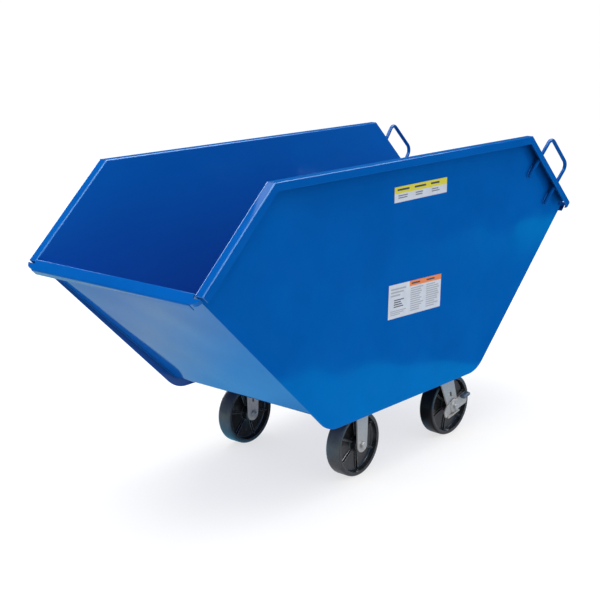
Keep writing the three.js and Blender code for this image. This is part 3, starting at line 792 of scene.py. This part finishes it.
def seam_path(side):
    """Under-side joint of a side panel and the bent sheet, front lip to rear lip."""
    y = side * (PANEL_IN - BEAD_LIFT)
    top = LIP + DOWN_SLOPE * SEAM_START - OUT_OF_SLOPE * MARGIN_TOP
    low = FOOT - OUT_OF_SLOPE * MARGIN_FOOT
    run = low - top
    floor = top + run * ((FLOOR_UNDER_Z - top.z) / run.z)
    corners = [
        (Vector((top.x, y, top.z)), 0),
        (Vector((floor.x, y, floor.z)), FLOOR_BEND),
        (Vector((-floor.x, y, floor.z)), FLOOR_BEND),
        (Vector((-top.x, y, top.z)), 0),
    ]
    return round_corners(corners)


def add_tub_welds(paint):
    """Seam under each side of the tub, and a short bead across each top corner of its rim."""
    for name, side in SIDES.items():
        build = bmesh.new()
        add_weld(build, seam_path(side), SEAM_BEAD, Vector((0, 1, 0)), seed=side * 3.1)
        for end in (-1, 1):
            shoulder = Vector((end * TOP_HALF, 0, TOP_Z - 0.0008))
            start = shoulder + Vector((0, side * (PANEL_OUT + 0.001), 0))
            finish = shoulder + Vector((0, side * (PANEL_OUT + RIM_WEB - 0.002), 0))
            add_weld(build, [start, finish], CORNER_BEAD, Vector((0, 0, 1)), seed=end * 1.7)
        piece = finish_piece(f"tub_weld_{name}", build, paint, 60)
        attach(piece, "tub")


def add_pad_welds(paint):
    """Short stitches between each caster pad and the tub floor."""
    for tag in ("front", "rear"):
        low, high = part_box(f"caster_pad_{tag}")
        build = bmesh.new()
        for x in (low.x, high.x):
            for k in range(STITCHES):
                middle = low.y + (high.y - low.y) * (k + 0.5) / STITCHES
                z = high.z - 0.0005
                ends = [middle - STITCH_HALF, middle + STITCH_HALF]
                path = [Vector((x, y, z)) for y in ends]
                add_weld(build, path, PAD_BEAD, Vector((0, 0, 1)), seed=k + x)
        piece = finish_piece(f"pad_weld_{tag}", build, paint, 60)
        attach(piece, "tub")


# ---------------------------------------------------------------------- handles


def handle_point(side, along, out):
    """A place in the handle's plane: along the rear rim, then out past it."""
    down = Vector((RISE.x, 0, -RISE.z))
    outward = Vector((RISE.z, 0, RISE.x))
    place = Vector((TOP_HALF, 0, TOP_Z)) + down * along + outward * out
    share = (out - HANDLE_ROOT) / (HANDLE_REACH - HANDLE_ROOT)
    place.y = side * (PANEL_OUT + GAP + BAR_RADIUS + share * HANDLE_SPLAY)
    return place


def bar_end(path, index, inward, hint):
    """Chamfered end of a bar: a small ring at the very end and a full one inside it."""
    across, up = frame_along(path, index, hint)
    inset = path[index] + inward.normalized() * BAR_CHAMFER
    tip = ring_at(path[index], across, up, BAR_RADIUS - BAR_CHAMFER, BAR_SIDES)
    return [tip, ring_at(inset, across, up, BAR_RADIUS, BAR_SIDES)]


def add_handle(name, side, paint):
    """One bent bar: two legs on the panel and a grip between them."""
    upper, lower = HANDLE_LEGS
    corners = [
        (handle_point(side, upper, HANDLE_ROOT), 0),
        (handle_point(side, upper, HANDLE_REACH), BAR_BEND),
        (handle_point(side, lower, HANDLE_REACH), BAR_BEND),
        (handle_point(side, lower, HANDLE_ROOT), 0),
    ]
    path = round_corners(corners, steps=12)
    hint = (corners[1][0] - corners[0][0]).cross(corners[2][0] - corners[1][0]).normalized()
    last = len(path) - 1
    stations = bar_end(path, 0, path[1] - path[0], hint)
    for i in range(1, last):
        across, up = frame_along(path, i, hint)
        stations.append(ring_at(path[i], across, up, BAR_RADIUS, BAR_SIDES))
    stations += reversed(bar_end(path, last, path[-2] - path[-1], hint))
    build = bmesh.new()
    add_sweep(build, stations)
    piece = finish_piece(f"handle_bar_{name}", build, paint, 50)
    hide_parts(f"handle_{name}")
    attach(piece, "tub")


def panel_spot(side, along, out):
    """The point of the panel's outer face beside a place in the handle's plane."""
    spot = handle_point(side, along, out)
    spot.y = side * (PANEL_OUT + BEAD_LIFT)
    return spot


def add_handle_welds(name, side, paint):
    """Fillets beside each leg and across its end, and a ring where it crosses the rim."""
    build = bmesh.new()
    outward = Vector((0, side, 0))
    for leg, along in enumerate(HANDLE_LEGS):
        for step, hand in enumerate((-1, 1)):
            beside = along + hand * BAR_RADIUS * 0.72
            outs = [HANDLE_ROOT - 0.002 + k * 0.0055 for k in range(9)]
            path = [panel_spot(side, beside, out) for out in outs]
            add_weld(build, path, LEG_BEAD, outward, seed=leg * 5 + step)
        cap_out = HANDLE_ROOT - 0.0015
        cap = [panel_spot(side, along + shift, cap_out) for shift in (-0.0055, 0.0, 0.0055)]
        add_weld(build, cap, LEG_BEAD, outward, seed=leg * 7)
        centre = handle_point(side, along, 0.0006)
        axis = (handle_point(side, along, 0.004) - centre).normalized()
        first = axis.cross(Vector((0, 1, 0))).normalized()
        second = axis.cross(first).normalized()
        ring = ring_at(centre, first, second, BAR_RADIUS + 0.0010, 20)
        add_weld(build, ring + ring[:1], RING_BEAD, axis, seed=leg * 11)
    piece = finish_piece(f"handle_weld_{name}", build, paint, 60)
    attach(piece, "tub")


# ----------------------------------------------------------------------- wheels

# Half of the wheel's section, from the bore out and round to the tread: (radius, y).
WHEEL_HALF_PROFILE = [
    (HUB_BORE, 0.0293),
    (0.0147, HUB_HALF),
    (0.0236, HUB_HALF),
    (0.0247, 0.0290),
    (0.0256, 0.0140),
    (0.0272, 0.0102),
    (0.0310, 0.0086),
    (0.0560, 0.0078),
    (0.0790, 0.0080),
    (0.0838, 0.0098),
    (0.0862, 0.0136),
    (0.0876, 0.0225),
    (0.0884, 0.0247),
    (0.0900, 0.0254),
    (0.0945, 0.0254),
    (0.0974, 0.0249),
    (0.0996, 0.0233),
    (0.1010, 0.0206),
    (WHEEL_RADIUS, 0.0165),
    (WHEEL_RADIUS, 0.0006),
]


def add_rib(build, angle, side, matrix):
    """Drafted rib from hub to rim on one face of the wheel web."""
    along = Vector((math.cos(angle), 0, -math.sin(angle)))
    across = Vector((math.sin(angle), 0, math.cos(angle)))
    start, end = 0.0245, 0.0872
    foot, top = 0.0070, 0.0150
    # Half width and height of one flank, foot to rounded top.
    section = [(0.0036, foot), (0.0020, foot + 0.0020), (0.0016, top - 0.0010), (0.0009, top)]
    outline = section + [(-w, y) for w, y in reversed(section)]
    rings = []
    for radius in (start, 0.035, 0.055, 0.075, end):
        ring = []
        for width, y in outline:
            point = along * radius + across * width + Vector((0, side * y, 0))
            ring.append(matrix @ point)
        rings.append(ring)
    add_sweep(build, rings)


def wheel_matrix(tag, turn):
    """Middle of a wheel, with its axis along Y and turned with its caster."""
    low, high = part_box(f"axle_bushing_{tag}")
    centre = (low + high) / 2
    return Matrix.Translation(centre) @ Matrix.Rotation(math.radians(turn), 4, "Z")


def add_wheel(tag, plastic):
    """Turned wheel with ribs on both faces, its tread and wear marked for the material."""
    phase, turn, pale_edge = CORNERS[tag]
    matrix = wheel_matrix(tag, turn)
    profile = WHEEL_HALF_PROFILE + [(r, -y) for r, y in reversed(WHEEL_HALF_PROFILE)]
    build = bmesh.new()
    add_lathe(build, profile, WHEEL_STEPS, matrix)
    tread = build.verts.layers.float.new("tread")
    wear = build.verts.layers.float.new("wear")
    to_axis = matrix.inverted()
    for vert in build.verts:
        place = to_axis @ vert.co
        radius = math.hypot(place.x, place.z)
        vert[tread] = min(1.0, max(0.0, (radius - TREAD_FROM) / TREAD_FADE))
        vert[wear] = pale_edge
    for k in range(RIBS):
        for side in (-1, 1):
            add_rib(build, math.radians(phase + k * 360 / RIBS), side, matrix)
    piece = finish_piece(f"moulded_wheel_{tag}", build, plastic, 32)
    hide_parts(f"wheel_{tag}")
    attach(piece, f"{tag}_wheel")


# ------------------------------------------------------------------ small parts


def rounded_box(build, low, high, radius, matrix, segments):
    """Box between two corners with rounded edges, then moved by a matrix."""
    made = bmesh.ops.create_cube(build, size=1.0)["verts"]
    size = Vector(high) - Vector(low)
    middle = (Vector(high) + Vector(low)) / 2
    for vert in made:
        vert.co = Vector(a * b for a, b in zip(vert.co, size)) + middle
    edges = list({edge for vert in made for edge in vert.link_edges})
    rounded = bmesh.ops.bevel(
        build,
        geom=edges,
        offset=radius,
        segments=segments,
        profile=0.5,
        affect="EDGES",
    )["verts"]
    everything = {vert for vert in made if vert.is_valid} | set(rounded)
    for vert in everything:
        vert.co = matrix @ vert.co


def add_pedal(tag, rubber):
    """Ribbed rubber sleeve on the foot tab of a brake lever."""
    side = SIDES[tag.split("_")[1]]
    matrix = wheel_matrix(tag, CORNERS[tag][1]) @ Matrix.Rotation(-LEVER_TILT, 4, "Y")
    build = bmesh.new()
    inner, outer = 0.0418, 0.0616
    sleeve = sorted((side * inner, side * outer))
    low = (0.0335, sleeve[0], 0.0115)
    high = (0.0685, sleeve[1], 0.0235)
    rounded_box(build, low, high, 0.0048, matrix, 3)
    ridge = sorted((side * (inner + 0.003), side * (outer - 0.003)))
    for k in range(5):
        x = 0.0400 + k * 0.0055
        low = (x - 0.0012, ridge[0], 0.0225)
        high = (x + 0.0012, ridge[1], 0.0245)
        rounded_box(build, low, high, 0.0008, matrix, 2)
    piece = finish_piece(f"pedal_{tag}", build, rubber, 45)
    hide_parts(f"brake_pad_{tag}")
    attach(piece, f"{tag}_brake")


# -------------------------------------------------------------- CAD node finish


def dress_node(name, material, bevel):
    """Welds the imported facets, rounds the edges, keeps flats flat, sets the material."""
    node = NODES[name]
    mesh = node.data
    mesh.materials.clear()
    mesh.materials.append(material)
    weld = node.modifiers.new("weld", "WELD")
    weld.merge_threshold = FACET_MERGE
    edge = node.modifiers.new("bevel", "BEVEL")
    edge.width = bevel
    edge.segments = BEVEL_STEPS
    edge.limit_method = "ANGLE"
    edge.angle_limit = BEVEL_ANGLE
    edge.use_clamp_overlap = True
    shading = node.modifiers.new("flat_faces", "WEIGHTED_NORMAL")
    shading.mode = "FACE_AREA"
    shading.weight = 90


def dress_cad(finishes):
    """Finishes every CAD piece whose name starts as given: (start, material, bevel)."""
    for start, material, bevel in finishes:
        for name in NODES:
            if name.startswith(start):
                dress_node(name, material, bevel)


# --------------------------------------------------------------------- assembly


def add_studio():
    bpy.context.scene.view_settings.view_transform = "Standard"
    add_camera()
    add_world()
    add_softbox()
    add_floor()
    add_reflected_floor()


def build_cart():
    """Materials, then the finish of the CAD pieces, then the pieces made here."""
    tub_paint = blue_enamel("tub_blue", wave=0.008, inside_shading=0.9)
    bar_paint = blue_enamel("bar_blue", tone=0.85, gloss=0.22)
    weld_paint = blue_enamel("weld_blue", tone=0.95, gloss=0.14, corner_shade=0.35)
    zinc = zinc_plate("caster_zinc", (0.50, 0.49, 0.48))
    steel = bright_steel("fastener_bright")
    plastic = black_nylon("wheel_black")
    rubber = pedal_rubber("pedal_slate")
    dress_cad([
        ("tub_wrap", tub_paint, 0.0005),
        ("side_panel", tub_paint, 0.0005),
        ("caster_pad", bar_paint, 0.0006),
        ("rigid_fork", zinc, 0.0006),
        ("swivel_plate", zinc, 0.0006),
        ("swivel_raceway", zinc, 0.0006),
        ("swivel_fork", zinc, 0.0006),
        ("brake_lever", zinc, 0.0006),
        ("axle_bushing", zinc, 0.0004),
        ("axle_bolt", steel, 0.0007),
        ("axle_nut", steel, 0.0007),
        ("kingpin", steel, 0.0006),
        ("mount_bolt", steel, 0.0006),
        ("decal_upper", upper_label(), 0.0001),
        ("decal_lower", lower_label(), 0.0001),
    ])
    add_tub_welds(bar_paint)
    add_pad_welds(bar_paint)
    for name, side in SIDES.items():
        add_handle(name, side, bar_paint)
        add_handle_welds(name, side, weld_paint)
    for tag in CORNERS:
        add_wheel(tag, plastic)
    for tag in ("rear_left", "rear_right"):
        add_pedal(tag, rubber)


add_studio()
build_cart()
